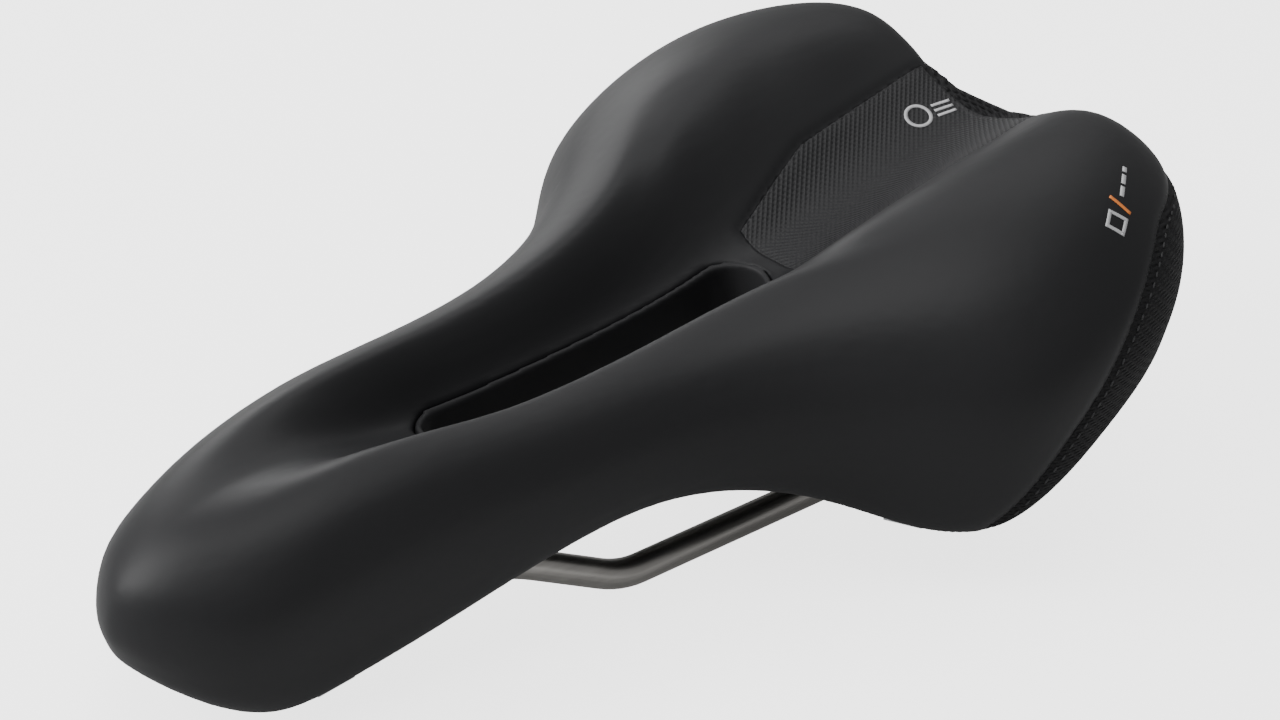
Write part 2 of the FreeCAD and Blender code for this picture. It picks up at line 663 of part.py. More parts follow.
clip_z = size("rail_nose_height") - RAIL_R - size("clip_thickness")
screw_y = NOSE_Y + size("rail_nose_setback") + 2
screw_places = [(0, screw_y - size("screw_spacing") / 2), (0, screw_y + size("screw_spacing") / 2)]
screw_bodies = [screw("nose_screw_%d" % i, x, y, clip_z - 0.05) for i, (x, y) in enumerate(screw_places)]
bores = [cylinder("screw_bore_%d" % i, cells("screw_diameter / 2 + rail_play"),
                  cells("screw_length + 1"), at(x, y, clip_z - 0.5))
         for i, (x, y) in enumerate(screw_places)]
nose_holes = fuse("nose_holes", [rail_clearance] + bores)
nose_socket = cut("nose_socket", nose_trimmed, nose_holes)
nose_clip = cut("nose_clip", clip_box, nose_holes)
nose_screws = compound("nose_screws", screw_bodies)

# Rear fixings: a socket block under the shell on each side, with a soft bush round the rail's end.
rear_parts = []
entry = rear_end - leg * size("bush_length")
for side, sign in (("left", 1), ("right", -1)):
    x_mid = "%srail_end_width / 2" % ("" if sign > 0 else "-")
    y_mid = "%s - rail_end_setback - 1" % tail
    low = [cells(x_mid + " - socket_width / 2"), cells(y_mid + " - socket_length / 2"),
           cells("rail_end_height - socket_drop")]
    high = [cells(x_mid + " + socket_width / 2"), cells(y_mid + " + socket_length / 2"),
            cells("rail_end_height + 22")]
    block = cut("socket_block_" + side, box("socket_box_" + side, low, high), above_shell)
    axis = V(sign * leg.x, leg.y, leg.z)
    start = V(sign * entry.x, entry.y, entry.z)
    finish = V(sign * rear_end.x, rear_end.y, rear_end.z)
    mouth = cylinder("socket_bore_" + side, cells("rail_diameter / 2 + bush_play * 2 + bush_wall"),
                     cells("bush_length * 3"), at(*(finish + axis * 1.5), axis=-axis))
    rear_parts.append(cut("rail_socket_" + side, block, mouth))
    sleeve = cylinder("bush_outside_" + side, cells("rail_diameter / 2 + bush_play + bush_wall"),
                      cells("bush_length"), at(*start, axis=axis))
    hole = cylinder("bush_inside_" + side, cells("rail_diameter / 2 + bush_play"),
                    cells("bush_length"), at(*start, axis=axis))
    rear_parts.append(cut("rail_bush_" + side, sleeve, hole))

# Accessory dock: a moulded rail under the tail that takes a clip-on light or bag.
dock_rear = tail + " - dock_setback"
dock_floor = value_of("tail_valley_height - pad_depth - shell_thickness - dock_height")
dock_box = box("dock_box", [cells("-dock_width / 2"), cells(dock_rear + " - dock_length"), str(dock_floor)],
               [cells("dock_width / 2"), cells(dock_rear), cells("tail_valley_height - pad_depth - 1")])
dock_trimmed = cut("dock_trimmed", dock_box, above_shell)
slot_low = "%g + 2" % dock_floor
dock_groove = box("dock_groove",
                  [cells("-dock_slot_width / 2"), cells(dock_rear + " - dock_length + 4"), slot_low],
                  [cells("dock_slot_width / 2"), cells(dock_rear + " + 1"),
                   cells(slot_low + " + dock_slot_height")])
dock_mouth = box("dock_mouth", [cells("-dock_lip_gap / 2"), cells(dock_rear + " - dock_length + 4"),
                                "%g" % (dock_floor - 1)],
                 [cells("dock_lip_gap / 2"), cells(dock_rear + " + 1"), cells(slot_low + " + 1")])
dock_tools = [dock_groove, dock_mouth]
dock_screw_bodies = []
dock_screw_y = value_of(dock_rear + " - dock_length / 2")
for i, x in enumerate((-11.5, 11.5)):
    dock_screw_bodies.append(screw("dock_screw_%d" % i, x, dock_screw_y, dock_floor - 0.05))
    dock_tools.append(cylinder("dock_bore_%d" % i, cells("screw_diameter / 2 + rail_play"),
                               cells("screw_length + 1"), at(x, dock_screw_y, dock_floor - 0.5)))
accessory_dock = cut("accessory_dock", dock_trimmed, fuse("dock_cuts", dock_tools))
dock_screws = compound("dock_screws", dock_screw_bodies)

# Staples that hold the skin's hem to the shell, spaced evenly along each side.
u_low, u_high = skin_sheet.bounds()[:2]
hem_v = skin_sheet.parameter(outer_rows[NOSE_ROWS][1])[1]
staples = []
for k in range(int(size("staple_count"))):
    u = u_low + (u_high - u_low) * (k + 0.5) / size("staple_count")
    place, (forward, inward) = skin_sheet.value(u, hem_v), skin_sheet.tangent(u, hem_v)
    down = forward.cross(inward).normalize()
    if down.z > 0:
        down = -down
    across = down.cross(forward)
    turn = FreeCAD.Rotation(forward, across, down, "ZXY")
    crown = Part.makeBox(size("staple_width"), 1.6 * size("staple_wire"), size("staple_wire"),
                         V(-size("staple_width") / 2, -0.8 * size("staple_wire"), 0.15))
    crown = crown.makeFillet(0.2 * size("staple_wire"), crown.Edges)
    crown.Placement = FreeCAD.Placement(place, turn)
    staples += [crown, crown.mirror(V(0, 0, 0), V(1, 0, 0))]
cover_staples = feature("cover_staples", Part.makeCompound(staples))

NODES = {
    "cover_skin": cover_skin, "centre_panel": centre_panel, "tail_band": tail_band,
    "foam_pad": foam_pad, "gel_pad_left": gel_pads[0], "gel_pad_right": gel_pads[1],
    "gel_pad_nose": gel_pads[2], "base_shell": base_shell, "slot_liner": slot_liner, "rail": rail,
    "nose_socket": nose_socket, "nose_clip": nose_clip, "nose_screws": nose_screws,
    "rail_socket_left": rear_parts[0], "rail_bush_left": rear_parts[1],
    "rail_socket_right": rear_parts[2], "rail_bush_right": rear_parts[3],
    "accessory_dock": accessory_dock, "dock_screws": dock_screws, "cover_staples": cover_staples,
}
doc.recompute()

failed = [obj.Name for obj in doc.Objects if "Invalid" in obj.State or "Error" in obj.State]
if failed:
    raise RuntimeError("these objects failed: %s" % failed)
os.makedirs("parts", exist_ok=True)
for name, obj in NODES.items():
    obj.Label = name
    shape = obj.Shape
    if shape.isNull() or not shape.isValid():
        raise RuntimeError("%s has no valid shape" % name)
    print("%-20s %2d solids %4d faces %10.1f mm3" % (name, len(shape.Solids), len(shape.Faces), shape.Volume))
    shape.exportStep("parts/%s.step" % name)
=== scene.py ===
import bmesh
import bpy
import math
from mathutils import Matrix, Vector
from mathutils.bvhtree import BVHTree


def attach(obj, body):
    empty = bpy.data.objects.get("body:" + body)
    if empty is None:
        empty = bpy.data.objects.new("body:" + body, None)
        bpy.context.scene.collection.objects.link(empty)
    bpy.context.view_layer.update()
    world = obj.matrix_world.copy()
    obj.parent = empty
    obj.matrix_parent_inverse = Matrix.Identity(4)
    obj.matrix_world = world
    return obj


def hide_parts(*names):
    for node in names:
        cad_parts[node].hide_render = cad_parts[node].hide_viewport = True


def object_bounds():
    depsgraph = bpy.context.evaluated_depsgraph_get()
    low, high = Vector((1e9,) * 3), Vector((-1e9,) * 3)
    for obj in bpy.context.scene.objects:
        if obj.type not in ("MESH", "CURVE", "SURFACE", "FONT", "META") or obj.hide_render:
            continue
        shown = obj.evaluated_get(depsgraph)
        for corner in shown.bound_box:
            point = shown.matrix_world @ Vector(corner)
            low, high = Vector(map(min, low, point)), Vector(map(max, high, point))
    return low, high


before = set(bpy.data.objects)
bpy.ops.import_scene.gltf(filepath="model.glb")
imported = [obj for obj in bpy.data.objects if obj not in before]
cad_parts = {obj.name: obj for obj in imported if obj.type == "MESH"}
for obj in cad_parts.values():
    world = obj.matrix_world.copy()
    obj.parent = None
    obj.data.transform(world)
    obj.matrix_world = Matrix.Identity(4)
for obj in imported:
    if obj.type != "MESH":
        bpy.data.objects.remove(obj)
cad_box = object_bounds()
scene = bpy.context.scene


# Studio: a wide pale floor under a plain grey surround, a long lens from the front and above, and
# four large soft lights. The main one stands to the nose side, and a low one behind gives the rim.
def link(thing):
    scene.collection.objects.link(thing)
    return thing


view_turn, view_height, view_roll = math.radians(47.55), math.radians(27.91), math.radians(2.4)
view_distance = 0.71015
look_at = Vector((0, -0.030, 0.059))
back = Vector((math.sin(view_turn) * math.cos(view_height),
               -math.cos(view_turn) * math.cos(view_height), math.sin(view_height)))
right = Vector((math.cos(view_turn), math.sin(view_turn), 0))
up = back.cross(right)
facing = Matrix((right, up, back)).transposed() @ Matrix.Rotation(view_roll, 3, "Z")
camera_data = bpy.data.cameras.new("camera")
camera_data.sensor_width = 36
camera_data.lens = 89.479
camera_data.shift_x = 0.0305
camera_data.shift_y = -0.0508
camera = link(bpy.data.objects.new("camera", camera_data))
camera.matrix_world = Matrix.Translation(look_at + back * view_distance) @ facing.to_4x4()
scene.camera = camera

world = bpy.data.worlds.new("surround")
world.use_nodes = True
surround = world.node_tree.nodes["Background"]
surround.inputs["Color"].default_value = (1, 1, 1, 1)
surround.inputs["Strength"].default_value = 0.40
scene.world = world


def soft_light(name, place, width, watts):
    lamp = bpy.data.lights.new(name, "AREA")
    lamp.shape = "DISK"
    lamp.size = width
    lamp.energy = watts
    light = link(bpy.data.objects.new(name, lamp))
    light.location = place
    light.rotation_euler = (look_at - Vector(place)).to_track_quat("-Z", "Y").to_euler()


soft_light("main_light", (-0.62, -1.0, 0.8), 0.8, 21)
soft_light("top_light", (-0.35, 0.45, 1.0), 0.8, 3.0)
soft_light("rim_light", (-1.1, 0.25, 0.5), 0.6, 4.8)
soft_light("front_fill", (0.25, -0.35, 1.3), 0.9, 8)

floor_half_width, gap_to_floor = 6, 0.0002
floor_shape = bmesh.new()
bmesh.ops.create_grid(floor_shape, x_segments=1, y_segments=1, size=floor_half_width)
floor_height = cad_box[0][2] - gap_to_floor
bmesh.ops.translate(floor_shape, verts=floor_shape.verts, vec=(0, 0, floor_height))
floor_mesh = bpy.data.meshes.new("floor")
floor_shape.to_mesh(floor_mesh)
floor_shape.free()
floor = link(bpy.data.objects.new("floor", floor_mesh))
floor_paint = bpy.data.materials.new("floor_paint")
floor_paint.use_nodes = True
floor_tree = floor_paint.node_tree
floor_shader = floor_tree.nodes["Principled BSDF"]
floor_shader.inputs["Base Color"].default_value = (0.55, 0.55, 0.55, 1)
floor_shader.inputs["Roughness"].default_value = 0.9
floor_shader.inputs["Emission Color"].default_value = (1, 1, 1, 1)
# Seen directly the floor glows pale, and it throws only a little of that light up at the saddle.
glow_seen, glow_thrown = 2.6, 0.12
ray_kind = floor_tree.nodes.new("ShaderNodeLightPath")
glow = floor_tree.nodes.new("ShaderNodeMath")
glow.operation = "MULTIPLY_ADD"
glow.inputs[1].default_value = glow_seen
glow.inputs[2].default_value = glow_thrown
floor_tree.links.new(ray_kind.outputs["Is Camera Ray"], glow.inputs[0])
floor_tree.links.new(glow.outputs[0], floor_shader.inputs["Emission Strength"])
floor.data.materials.append(floor_paint)


# Cushion blank: skin, foam and gel are moulded together, so the outside is shaped as one body. It
# is remeshed to an even net, laid back on the true surface, and parted below into its own pieces.
def gathered(name, nodes):
    """New object holding a merged copy of some of the frame's nodes."""
    shape = bmesh.new()
    for node in nodes:
        shape.from_mesh(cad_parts[node].data)
    bmesh.ops.remove_doubles(shape, verts=shape.verts, dist=0.000002)
    mesh = bpy.data.meshes.new(name)
    shape.to_mesh(mesh)
    shape.free()
    return link(bpy.data.objects.new(name, mesh))


def settle(piece):
    """Make the piece's modifiers part of its mesh."""
    graph = bpy.context.evaluated_depsgraph_get()
    mesh = bpy.data.meshes.new_from_object(piece.evaluated_get(graph), depsgraph=graph)
    piece.modifiers.clear()
    piece.data = mesh
    for face in mesh.polygons:
        face.use_smooth = True
    return piece


def remesh(piece, voxel):
    step = piece.modifiers.new("net", "REMESH")
    step.mode = "VOXEL"
    step.voxel_size = voxel
    return settle(piece)


outer_nodes = ["cover_skin", "centre_panel", "tail_band"]
inner_nodes = ["foam_pad", "gel_pad_left", "gel_pad_right", "gel_pad_nose"]
net_size, furthest_move = 0.0011, 0.0009
true_surface = gathered("true_surface", outer_nodes)
blank = remesh(gathered("cushion_blank", outer_nodes + inner_nodes), net_size)
outside = BVHTree.FromObject(true_surface, bpy.context.evaluated_depsgraph_get())
shape = bmesh.new()
shape.from_mesh(blank.data)
for vertex in shape.verts:
    near, normal, index, distance = outside.find_nearest(vertex.co, furthest_move)
    if near and normal.dot(vertex.normal) > 0.3:
        vertex.co = near
shape.normal_update()

# The seam between skin and tail band is pulled in by its stitches, and the centre panel is pressed
# in by its own thickness with a soft shoulder, so both show as shallow valleys in the surface.
seam_points = [Vector((0, 0.0230, 0.0150)), Vector((0, 0.0372, 0.0359)),
               Vector((0, 0.0557, 0.0572)), Vector((0, 0.0733, 0.0710)),
               Vector((0, 0.0859, 0.0746)), Vector((0, 0.1185, 0.0796))]
seam_steps = 8
seam_line = []
for i in range(1, len(seam_points) - 2):
    a, b, c, d = seam_points[i - 1:i + 3]
    for k in range(seam_steps):
        t = k / seam_steps
        seam_line.append(0.5 * (2 * b + (c - a) * t + (2 * a - 5 * b + 4 * c - d) * t ** 2
                                + (3 * b - a - 3 * c + d) * t ** 3))
seam_line = [seam_points[0]] + seam_line + seam_points[-2:]
valley_half, valley_rear, valley_floor = 0.036, 0.0912, 0.057
panel_corners = [Vector((-0.0115, 0.0245, 0)), Vector((0.0115, 0.0245, 0)),
                 Vector((0.0175, 0.0489, 0)), Vector((0.0185, 0.0911, 0)),
                 Vector((-0.0185, 0.0911, 0)), Vector((-0.0175, 0.0489, 0))]
seam_depth, seam_width = 0.0005, 0.0013
shoulder_depth, shoulder_width, pucker_pitch = 0.00045, 0.0012, 2400


def gap_to(line, point):
    """Distance from a point to a chain of points, all of them flat."""
    best = 1.0
    for a, b in zip(line, line[1:]):
        run = b - a
        t = max(0, min(1, (point - a).dot(run) / run.length_squared))
        best = min(best, (point - a - run * t).length)
    return best


for vertex in shape.verts:
    x, y, z = vertex.co
    in_valley = abs(x) < valley_half and z > valley_floor and y < valley_rear
    if y > 0.015 and not in_valley:
        gap = gap_to(seam_line, Vector((0, y, z)))
        vertex.co -= vertex.normal * seam_depth * math.exp(-(gap / seam_width) ** 2)
    if 0.02 < y < 0.096 and abs(x) < 0.024 and vertex.normal.z > 0.3:
        gap = gap_to(panel_corners + panel_corners[:1], Vector((x, y, 0)))
        pucker = 0.8 + 0.2 * math.sin(y * pucker_pitch)
        pressed = shoulder_depth * pucker * math.exp(-(gap / shoulder_width) ** 2)
        vertex.co -= vertex.normal * pressed
shape.to_mesh(blank.data)
shape.free()


def plate(name, outline, start, push):
    """Closed prism: a flat outline at start, pushed along one direction."""
    form = bmesh.new()
    corners = [form.verts.new(start + point) for point in outline]
    face = form.faces.new(corners)
    grown = bmesh.ops.extrude_face_region(form, geom=[face])
    moved = [item for item in grown["geom"] if isinstance(item, bmesh.types.BMVert)]
    bmesh.ops.translate(form, verts=moved, vec=push)
    bmesh.ops.recalc_face_normals(form, faces=form.faces)
    mesh = bpy.data.meshes.new(name)
    form.to_mesh(mesh)
    form.free()
    return link(bpy.data.objects.new(name, mesh))


def parted(name, body, tool, how):
    """Copy of body with tool taken away from it, or only what lies inside tool."""
    piece = link(bpy.data.objects.new(name, body.data.copy()))
    step = piece.modifiers.new("part", "BOOLEAN")
    step.object = tool
    step.operation = how
    step.solver = "EXACT"
    return settle(piece)


def discard(*pieces):
    for piece in pieces:
        bpy.data.objects.remove(piece)


past_side, through_top, panel_floor = 0.12, Vector((0, 0, 0.06)), 0.044
band_outline = seam_line + [Vector((0, 0.12, -0.03)), Vector((0, 0.015, -0.03))]
band_whole = plate("band_whole", band_outline, Vector((-past_side, 0, 0)),
                   Vector((2 * past_side, 0, 0)))
valley_corners = [Vector((-valley_half, 0, 0)), Vector((valley_half, 0, 0)),
                  Vector((valley_half, valley_rear, 0)), Vector((-valley_half, valley_rear, 0))]
valley_block = plate("valley_block", valley_corners, Vector((0, 0, valley_floor)), through_top)
band_block = parted("band_block", band_whole, valley_block, "DIFFERENCE")
panel_block = plate("panel_block", panel_corners, Vector((0, 0, panel_floor)), through_top)


# Shared finishes. The grain group gives a fine raised pattern, and the mottle group gives the
# slight change of colour and gloss that handling and dust leave on every surface.
def new_group(name, inputs, outputs):
    group = bpy.data.node_groups.new(name, "ShaderNodeTree")
    for label, kind, value in inputs:
        socket = group.interface.new_socket(label, in_out="INPUT", socket_type=kind)
        if value is not None:
            socket.default_value = value
    for label, kind in outputs:
        group.interface.new_socket(label, in_out="OUTPUT", socket_type=kind)
    return group, group.nodes.new("NodeGroupInput"), group.nodes.new("NodeGroupOutput")


def join(tree, source, target):
    tree.links.new(source, target)


mottle, given, made = new_group(
    "mottle",
    [("Vector", "NodeSocketVector", None), ("Scale", "NodeSocketFloat", 60.0),
     ("Dark", "NodeSocketColor", (0.02, 0.02, 0.02, 1)),
     ("Light", "NodeSocketColor", (0.03, 0.03, 0.03, 1)),
     ("Gloss", "NodeSocketFloat", 0.45), ("Dull", "NodeSocketFloat", 0.6)],
    [("Color", "NodeSocketColor"), ("Roughness", "NodeSocketFloat")])
clouds = mottle.nodes.new("ShaderNodeTexNoise")
clouds.inputs["Detail"].default_value = 5
blend_colour = mottle.nodes.new("ShaderNodeMix")
blend_colour.data_type = "RGBA"
blend_rough = mottle.nodes.new("ShaderNodeMix")
join(mottle, given.outputs["Vector"], clouds.inputs["Vector"])
join(mottle, given.outputs["Scale"], clouds.inputs["Scale"])
join(mottle, clouds.outputs["Fac"], blend_colour.inputs[0])
join(mottle, given.outputs["Dark"], blend_colour.inputs[6])
join(mottle, given.outputs["Light"], blend_colour.inputs[7])
join(mottle, clouds.outputs["Fac"], blend_rough.inputs[0])
join(mottle, given.outputs["Gloss"], blend_rough.inputs[2])
join(mottle, given.outputs["Dull"], blend_rough.inputs[3])
join(mottle, blend_colour.outputs[2], made.inputs["Color"])
join(mottle, blend_rough.outputs[0], made.inputs["Roughness"])

grain, given, made = new_group(
    "grain",
    [("Vector", "NodeSocketVector", None), ("Scale", "NodeSocketFloat", 900.0),
     ("Cells", "NodeSocketFloat", 0.5)],
    [("Height", "NodeSocketFloat")])
pebbles = grain.nodes.new("ShaderNodeTexVoronoi")
dust = grain.nodes.new("ShaderNodeTexNoise")
dust.inputs["Detail"].default_value = 3
blend_height = grain.nodes.new("ShaderNodeMix")
for texture in (pebbles, dust):
    join(grain, given.outputs["Vector"], texture.inputs["Vector"])
    join(grain, given.outputs["Scale"], texture.inputs["Scale"])
join(grain, given.outputs["Cells"], blend_height.inputs[0])
join(grain, dust.outputs["Fac"], blend_height.inputs[2])
join(grain, pebbles.outputs["Distance"], blend_height.inputs[3])
join(grain, blend_height.outputs[0], made.inputs["Height"])


def finish(name, dark, light, gloss, dull, cloud_scale=60, stretch=(1, 1, 1), **set_on_shader):
    """New material: mottled colour and gloss on the object's own coordinates."""
    material = bpy.data.materials.new(name)
    material.use_nodes = True
    tree = material.node_tree
    shader = tree.nodes["Principled BSDF"]
    for label, value in set_on_shader.items():
        shader.inputs[label.replace("_", " ")].default_value = value
    place = tree.nodes.new("ShaderNodeTexCoord")
    lay = tree.nodes.new("ShaderNodeMapping")
    lay.inputs["Scale"].default_value = stretch
    join(tree, place.outputs["Object"], lay.inputs["Vector"])
    patches = tree.nodes.new("ShaderNodeGroup")
    patches.node_tree = mottle
    join(tree, lay.outputs["Vector"], patches.inputs["Vector"])
    patches.inputs["Scale"].default_value = cloud_scale
    patches.inputs["Dark"].default_value = (*dark, 1)
    patches.inputs["Light"].default_value = (*light, 1)
    patches.inputs["Gloss"].default_value = gloss
    patches.inputs["Dull"].default_value = dull
    join(tree, patches.outputs["Color"], shader.inputs["Base Color"])
    join(tree, patches.outputs["Roughness"], shader.inputs["Roughness"])
    return material, tree, shader, lay


def raise_pattern(tree, shader, height, strength, depth):
    bump = tree.nodes.new("ShaderNodeBump")
    bump.inputs["Strength"].default_value = strength
    bump.inputs["Distance"].default_value = depth
    join(tree, height, bump.inputs["Height"])
    join(tree, bump.outputs["Normal"], shader.inputs["Normal"])


def grained(tree, shader, lay, scale, cells, strength, depth):
    pattern = tree.nodes.new("ShaderNodeGroup")
    pattern.node_tree = grain
    pattern.inputs["Scale"].default_value = scale
    pattern.inputs["Cells"].default_value = cells
    join(tree, lay.outputs["Vector"], pattern.inputs["Vector"])
    raise_pattern(tree, shader, pattern.outputs["Height"], strength, depth)


def dress(piece, material, slot_name=None, *stands_for):
    piece.data.materials.clear()
    piece.data.materials.append(material)
    if slot_name:
        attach(piece, "root")
        if stands_for:
            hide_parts(*stands_for)
    return piece


# Skin: soft matt polyurethane, moulded over the foam in one smooth sheet with a very fine grain.
# The tail band and the centre panel are let into it.
skin_open = parted("skin_open", blank, band_block, "DIFFERENCE")
skin = parted("skin", skin_open, panel_block, "DIFFERENCE")
skin_coat, tree, shader, lay = finish(
    "skin_coat", (0.0075, 0.0076, 0.0086), (0.0105, 0.0106, 0.0118), 0.47, 0.56, 25,
    Specular_IOR_Level=0.27)
grained(tree, shader, lay, 2600, 0.7, 0.16, 0.00005)
dress(skin, skin_coat, "skin", "cover_skin")

# Centre panel: embossed inlay with staggered rows of small raised dots, pressed in flush.
panel_blank = parted("panel_blank", blank, band_block, "DIFFERENCE")
panel = parted("panel", panel_blank, panel_block, "INTERSECT")
panel_coat, tree, shader, lay = finish(
    "panel_coat", (0.010, 0.010, 0.011), (0.017, 0.017, 0.0185), 0.5, 0.62, 90,
    Specular_IOR_Level=0.3)
lay.inputs["Rotation"].default_value = (0, 0, math.radians(45))
dots = tree.nodes.new("ShaderNodeTexVoronoi")
dots.voronoi_dimensions = "2D"
dots.inputs["Scale"].default_value = 900
dots.inputs["Randomness"].default_value = 0.0
join(tree, lay.outputs["Vector"], dots.inputs["Vector"])
raise_pattern(tree, shader, dots.outputs["Distance"], 0.8, 0.0005)
dress(panel, panel_coat, "panel", "centre_panel")

# Tail band: black ribbed webbing, woven in narrow slanting ribs and stitched round the rear. Its
# weave is a product of two crossing waves.
band = parted("band", blank, band_block, "INTERSECT")
band_cloth, tree, shader, lay = finish(
    "band_cloth", (0.004, 0.004, 0.0045), (0.011, 0.011, 0.012), 0.65, 0.85, 300,
    Specular_IOR_Level=0.2)
ribs = tree.nodes.new("ShaderNodeTexWave")
ribs.wave_type = "BANDS"
ribs.bands_direction = "DIAGONAL"
ribs.inputs["Scale"].default_value = 230
picks = tree.nodes.new("ShaderNodeTexWave")
picks.bands_direction = "Z"
picks.inputs["Scale"].default_value = 330
weave = tree.nodes.new("ShaderNodeMath")
weave.operation = "MULTIPLY"
for texture in (ribs, picks):
    join(tree, lay.outputs["Vector"], texture.inputs["Vector"])
join(tree, ribs.outputs["Fac"], weave.inputs[0])
join(tree, picks.outputs["Fac"], weave.inputs[1])
raise_pattern(tree, shader, weave.outputs[0], 1.0, 0.0007)
dress(band, band_cloth, "band", "tail_band")
discard(skin_open, band_whole, valley_block, band_block, panel_block, panel_blank)

# Seam thread: lock stitches of thick polyester thread through the band, a short way behind the
# seam. Each stitch is a small plump bar sunk a little into the cloth.
behind_seam = Vector((0, 0.0016, -0.0012))
stitch_pitch, longest_step, shortest_step = 0.0027, 0.004, 0.00001
stitch_half_size, stitch_sunk, spots_per_run = (0.00028, 0.00085, 0.00022, 1), 0.00004, 24
band_rear = 0.094
stitches = bmesh.new()
for side in (-1, 1):
    spots = []
    for a, b in zip(seam_line, seam_line[1:]):
        for k in range(spots_per_run):
            spot = a + (b - a) * k / spots_per_run + behind_seam
            start = Vector((side * past_side, spot.y, spot.z))
            hit, normal, index, distance = outside.ray_cast(start, Vector((-side, 0, 0)))
            if hit and spot.y < band_rear and abs(hit.x) > valley_half:
                spots.append((hit, normal))
    travelled = 0.0
    for (before, ignored), (place, normal) in zip(spots, spots[1:]):
        step = place - before
        travelled += step.length
        if travelled < stitch_pitch or not shortest_step <= step.length <= longest_step:
            continue
        travelled = 0.0
        along = step.normalized()
        over = normal.cross(along).normalized()
        turn = Matrix((over, along, normal)).transposed().to_4x4()
        sunk = Matrix.Translation(place - normal * stitch_sunk)
        bmesh.ops.create_uvsphere(stitches, u_segments=8, v_segments=6, radius=1,
                                  matrix=sunk @ turn @ Matrix.Diagonal(stitch_half_size))
stitch_mesh = bpy.data.meshes.new("seam_thread")
stitches.to_mesh(stitch_mesh)
stitches.free()
for face in stitch_mesh.polygons:
    face.use_smooth = True
seam_thread = link(bpy.data.objects.new("seam_thread", stitch_mesh))
thread_fibre, tree, shader, lay = finish(
    "thread_fibre", (0.010, 0.010, 0.011), (0.022, 0.022, 0.024), 0.5, 0.7, 900)
grained(tree, shader, lay, 4200, 0.2, 0.5, 0.00008)
dress(seam_thread, thread_fibre, "band")

# Printed marks: a plain ring and bars on the panel, and a hollow square, a slash and bars on one
# wing. Each is a film of ink a tenth of a millimetre thick that follows the surface.
film_thickness, film_lift, longest_cell = 0.0001, 0.00006, 0.0006


def ink_marks(name, centre, run, bars, rings=()):
    """Bars are (along, across, length, width, lean), rings (along, across, radius, width)."""
    ink = bmesh.new()
    place, normal, index, distance = outside.find_nearest(centre)
    across = normal.cross(run).normalized()
    along = across.cross(normal).normalized()
    for forward, aside, length, width, lean in bars:
        cells = max(2, int(length / longest_cell))
        bar = bmesh.ops.create_grid(ink, x_segments=cells, y_segments=2, size=0.5)["verts"]
        bmesh.ops.scale(ink, verts=bar, vec=(length, width, 1))
        bmesh.ops.rotate(ink, verts=bar, matrix=Matrix.Rotation(math.radians(lean), 3, "Z"))
        bmesh.ops.translate(ink, verts=bar, vec=(forward, aside, 0))
    for forward, aside, radius, width in rings:
        hoops = [bmesh.ops.create_circle(ink, segments=40, radius=r)["verts"]
                 for r in (radius, radius - width)]
        edges = [edge for hoop in hoops for edge in {e for v in hoop for e in v.link_edges}]
        bmesh.ops.bridge_loops(ink, edges=edges)
        bmesh.ops.translate(ink, verts=hoops[0] + hoops[1], vec=(forward, aside, 0))
    for vertex in ink.verts:
        flat = place + along * vertex.co.x + across * vertex.co.y
        near, lift, index, distance = outside.find_nearest(flat)
        vertex.co = near + (lift if lift.dot(normal) > 0 else -lift) * film_lift
    bmesh.ops.recalc_face_normals(ink, faces=ink.faces)
    mesh = bpy.data.meshes.new(name)
    ink.to_mesh(mesh)
    ink.free()
    film = link(bpy.data.objects.new(name, mesh))
    thick = film.modifiers.new("film", "SOLIDIFY")
    thick.thickness = film_thickness
    thick.offset = 0
    return settle(film)


silver_ink, tree, shader, lay = finish(
    "silver_ink", (0.36, 0.36, 0.37), (0.50, 0.50, 0.51), 0.35, 0.5, 500)
grained(tree, shader, lay, 3000, 0.3, 0.3, 0.00003)
orange_ink, tree, shader, lay = finish(
    "orange_ink", (0.62, 0.16, 0.02), (0.74, 0.22, 0.04), 0.4, 0.5, 500)
grained(tree, shader, lay, 3000, 0.3, 0.3, 0.00003)
wing_spot, wing_run = Vector((0.0644, 0.0685, 0.0787)), Vector((-0.57, 0.76, 0.33))
panel_spot, panel_run = Vector((-0.008, 0.081, 0.070)), Vector((0.26, 0.95, 0.15))
wing_print = ink_marks("wing_print", wing_spot, wing_run, [
    (-0.0072, 0.0022, 0.0050, 0.0009, 0), (-0.0072, -0.0022, 0.0050, 0.0009, 0),
    (-0.0093, 0, 0.0053, 0.0009, 90), (-0.0051, 0, 0.0053, 0.0009, 90),
    (0.0025, 0, 0.0032, 0.0011, 0), (0.0066, 0, 0.0032, 0.0011, 0),
    (0.0101, 0, 0.0018, 0.0011, 0)])
wing_slash = ink_marks("wing_slash", wing_spot, wing_run, [(-0.0018, 0, 0.0062, 0.0009, 72)])
panel_print = ink_marks("panel_print", panel_spot, panel_run, [
    (0.0062, 0.0017, 0.0052, 0.0008, 0), (0.0062, 0, 0.0052, 0.0008, 0),
    (0.0062, -0.0017, 0.0052, 0.0008, 0)], [(-0.001, 0, 0.0036, 0.0009)])
dress(wing_print, silver_ink, "skin")
dress(wing_slash, orange_ink, "skin")
dress(panel_print, silver_ink, "panel")

# Slot liner: soft moulded sleeve whose rounded bead laps over the edge of the skin.
liner = remesh(gathered("liner", ["slot_liner"]), 0.0006)
round_off = liner.modifiers.new("round", "SMOOTH")
round_off.factor = 0.5
round_off.iterations = 5
settle(liner)
liner_coat, tree, shader, lay = finish(
    "liner_coat", (0.014, 0.014, 0.015), (0.021, 0.021, 0.0225), 0.5, 0.66, 120,
    Specular_IOR_Level=0.2)
grained(tree, shader, lay, 1800, 0.3, 0.1, 0.00005)
dress(liner, liner_coat, "liner", "slot_liner")

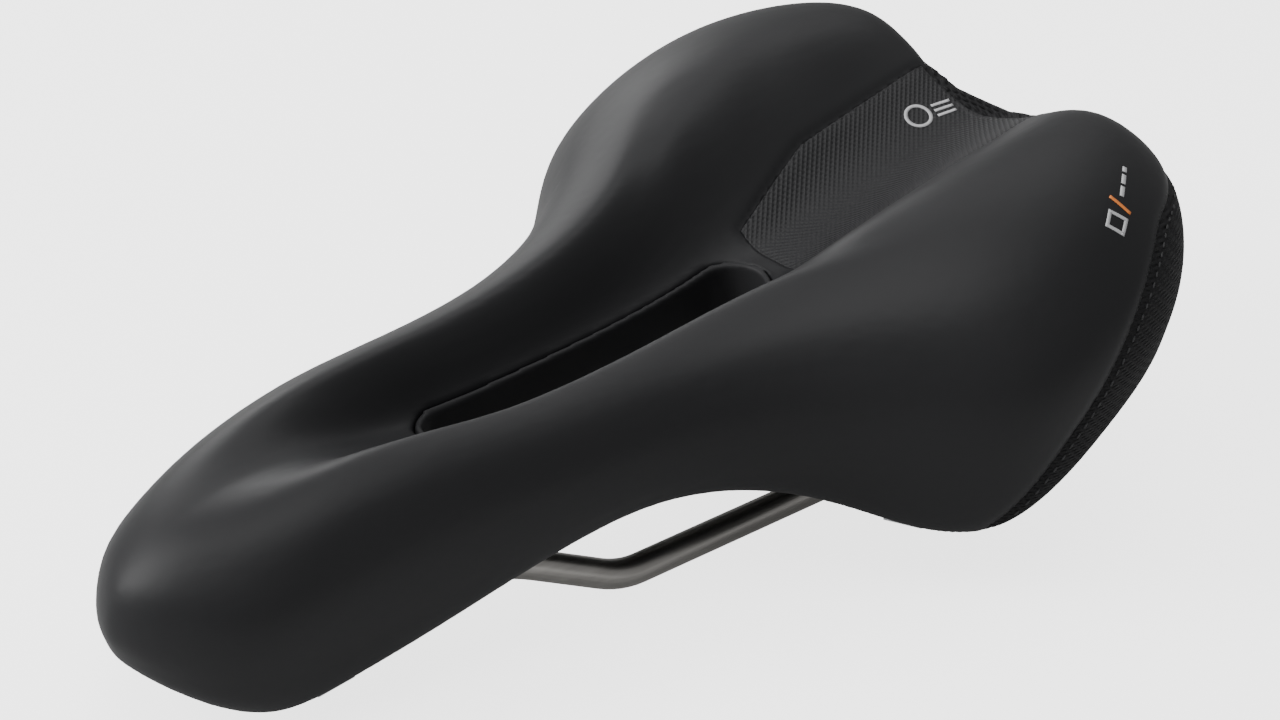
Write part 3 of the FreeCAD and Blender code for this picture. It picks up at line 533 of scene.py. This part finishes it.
# Foam and gel: they lie out of sight under the skin, cut and cast to their own pockets.
foam = remesh(gathered("foam", ["foam_pad"]), 0.0024)
foam_body, tree, shader, lay = finish(
    "foam_body", (0.06, 0.06, 0.065), (0.12, 0.12, 0.13), 0.85, 0.95, 700)
grained(tree, shader, lay, 700, 0.8, 0.8, 0.0005)
dress(foam, foam_body, "foam", "foam_pad")
gel_body, tree, shader, lay = finish(
    "gel_body", (0.03, 0.15, 0.32), (0.06, 0.24, 0.46), 0.08, 0.2, 90)
grained(tree, shader, lay, 120, 0.2, 0.3, 0.0003)
for side in ("left", "right", "nose"):
    gel = remesh(gathered("gel_" + side, ["gel_pad_" + side]), 0.0014)
    dress(gel, gel_body, "gel", "gel_pad_" + side)

# Shell and fittings: injection-moulded polypropylene and nylon with a fine spark-eroded grain.
shell_plastic, tree, shader, lay = finish(
    "shell_plastic", (0.016, 0.016, 0.017), (0.026, 0.026, 0.028), 0.5, 0.66, 80)
grained(tree, shader, lay, 1500, 0.6, 0.5, 0.0002)
dress(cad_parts["base_shell"], shell_plastic)
nylon, tree, shader, lay = finish(
    "nylon", (0.022, 0.022, 0.024), (0.036, 0.036, 0.038), 0.42, 0.58, 140)
grained(tree, shader, lay, 2200, 0.5, 0.4, 0.00015)


def eased(node, width):
    """Copy of a moulded fitting with its sharp corners rounded, as its mould leaves them."""
    piece = gathered(node + "_moulding", [node])
    form = bmesh.new()
    form.from_mesh(piece.data)
    bmesh.ops.remove_doubles(form, verts=form.verts, dist=0.00001)
    bmesh.ops.dissolve_limit(form, angle_limit=math.radians(2), verts=form.verts, edges=form.edges)
    form.to_mesh(piece.data)
    form.free()
    step = piece.modifiers.new("ease", "BEVEL")
    step.width = width
    step.segments = 2
    step.limit_method = "ANGLE"
    step.angle_limit = math.radians(50)
    settle(piece)
    piece.data.set_sharp_from_angle(angle=math.radians(40))
    return piece


corner_radius = 0.0004
for node in ("nose_socket", "nose_clip", "rail_socket_left", "rail_socket_right",
             "accessory_dock"):
    dress(eased(node, corner_radius), nylon, "nylon", node)
bush_rubber, tree, shader, lay = finish(
    "bush_rubber", (0.018, 0.018, 0.018), (0.03, 0.03, 0.03), 0.6, 0.75, 200)
grained(tree, shader, lay, 1600, 0.4, 0.3, 0.0001)
for node in ("rail_bush_left", "rail_bush_right"):
    dress(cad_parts[node], bush_rubber)

# Rail: one length of round steel wire, bent cold and satin brushed along its run.
steel, tree, shader, lay = finish(
    "steel", (0.30, 0.29, 0.275), (0.46, 0.445, 0.425), 0.24, 0.40, 900, (1, 0.03, 1),
    Metallic=1.0)
grained(tree, shader, lay, 1400, 0.0, 0.25, 0.00008)
dress(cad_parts["rail"], steel)

# Screws and staples: zinc-plated steel.
zinc, tree, shader, lay = finish(
    "zinc", (0.40, 0.41, 0.43), (0.58, 0.58, 0.60), 0.28, 0.48, 800, Metallic=1.0)
grained(tree, shader, lay, 1500, 0.2, 0.3, 0.00006)
for node in ("nose_screws", "dock_screws", "cover_staples"):
    dress(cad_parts[node], zinc)

discard(true_surface, blank)
